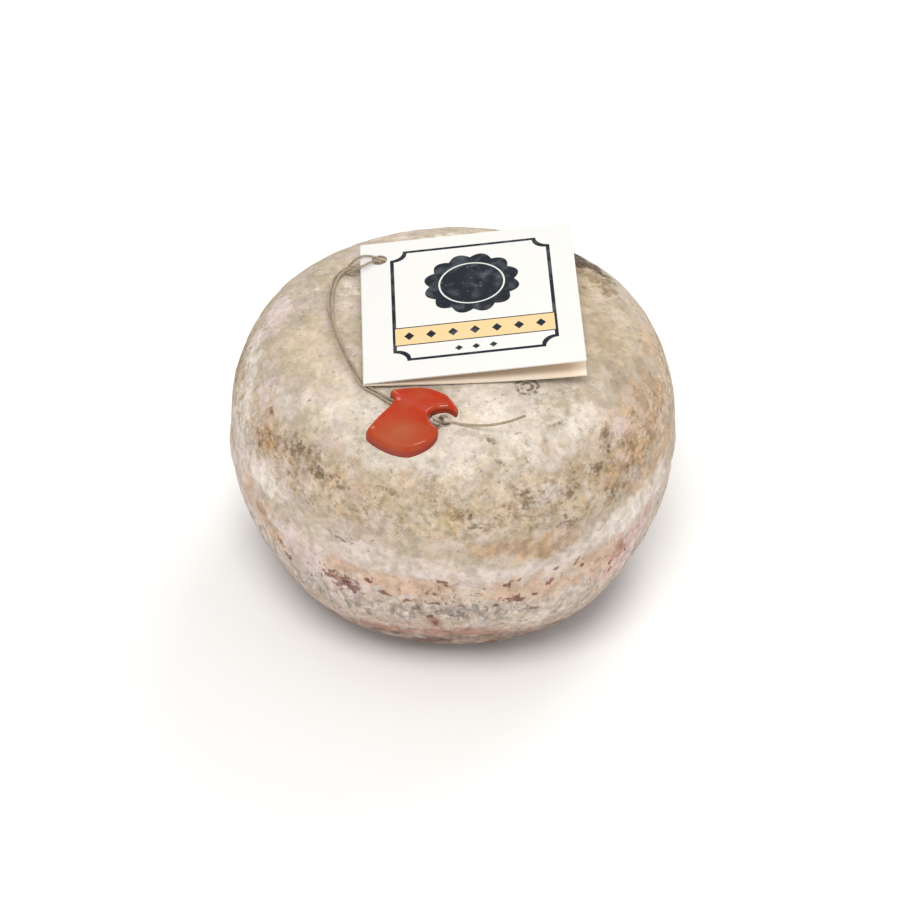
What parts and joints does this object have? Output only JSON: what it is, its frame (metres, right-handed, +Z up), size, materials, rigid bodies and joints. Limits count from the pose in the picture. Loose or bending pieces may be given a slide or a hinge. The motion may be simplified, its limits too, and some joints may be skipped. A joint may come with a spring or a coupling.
{
  "type": "truffle pecorino cheese wheel",
  "caption": "Small whole wheel of ewe's-milk cheese with a mottled natural rind, a folded card tag hitched to thin twine and a wax seal that holds the twine on its top.",
  "frame": {"origin": "middle of the flat base", "axes": "+Z up through the domed top; -Y towards the wax seal; -X towards the spine of the folded tag"},
  "size_m": [0.1368, 0.1378, 0.099],
  "materials": {
    "rind": "dry natural rind, cream to brown, with specks of mould",
    "card": "smooth uncoated card",
    "wax": "soft sheen of sealing wax",
    "twine": "dull twisted fibre"
  },
  "bodies": {
    "root": {"cheese_wheel": "rind", "tag": "card", "seal": "wax", "string_legs": "twine", "string_knot": "twine", "string_end": "twine"}
  },
  "joints": []
}
